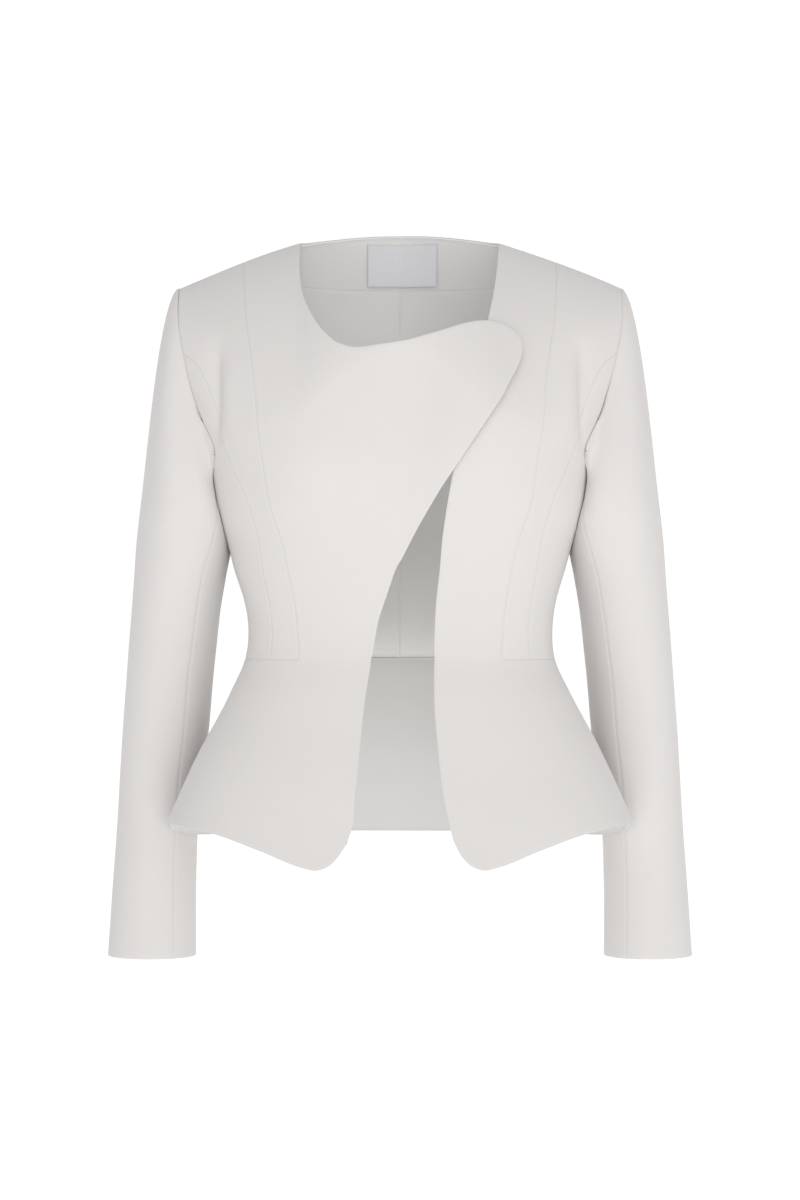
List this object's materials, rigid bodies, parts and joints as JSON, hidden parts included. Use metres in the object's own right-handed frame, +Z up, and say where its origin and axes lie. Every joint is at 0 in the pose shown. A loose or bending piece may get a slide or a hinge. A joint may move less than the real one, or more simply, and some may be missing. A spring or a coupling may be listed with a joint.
{
  "type": "wrap-front peplum jacket",
  "caption": "Fitted long-sleeved jacket with an asymmetric wrap front, round neckline and flared peplum, filled out in its worn shape.",
  "frame": {"origin": "middle of the shoulder line, midway between the two shoulders, where the wearer carries the jacket", "axes": "+Z up along the standing wearer, -Y out of the front, +X towards the wearer's left"},
  "size_m": [0.5294, 0.2863, 0.6479],
  "materials": {
    "shell_cloth": "matt off-white crepe, smooth and firm",
    "sleeve_cloth": "matt off-white crepe, smooth and firm",
    "facing_cloth": "matt off-white crepe facing",
    "lining_cloth": "smooth off-white lining with a slight sheen",
    "label_cloth": "plain pale grey-white woven label, blank"
  },
  "bodies": {
    "root": {"right_front": "shell_cloth", "left_front": "shell_cloth", "left_side_front": "shell_cloth", "right_side_front": "shell_cloth", "left_side_panel": "shell_cloth", "right_side_panel": "shell_cloth", "left_back": "shell_cloth", "right_back": "shell_cloth", "back_peplum": "shell_cloth", "left_top_sleeve": "sleeve_cloth", "right_top_sleeve": "sleeve_cloth", "left_under_sleeve": "sleeve_cloth", "right_under_sleeve": "sleeve_cloth", "back_neck_facing": "facing_cloth", "left_back_lining": "lining_cloth", "right_back_lining": "lining_cloth", "peplum_lining": "lining_cloth", "neck_label": "label_cloth"}
  },
  "joints": []
}
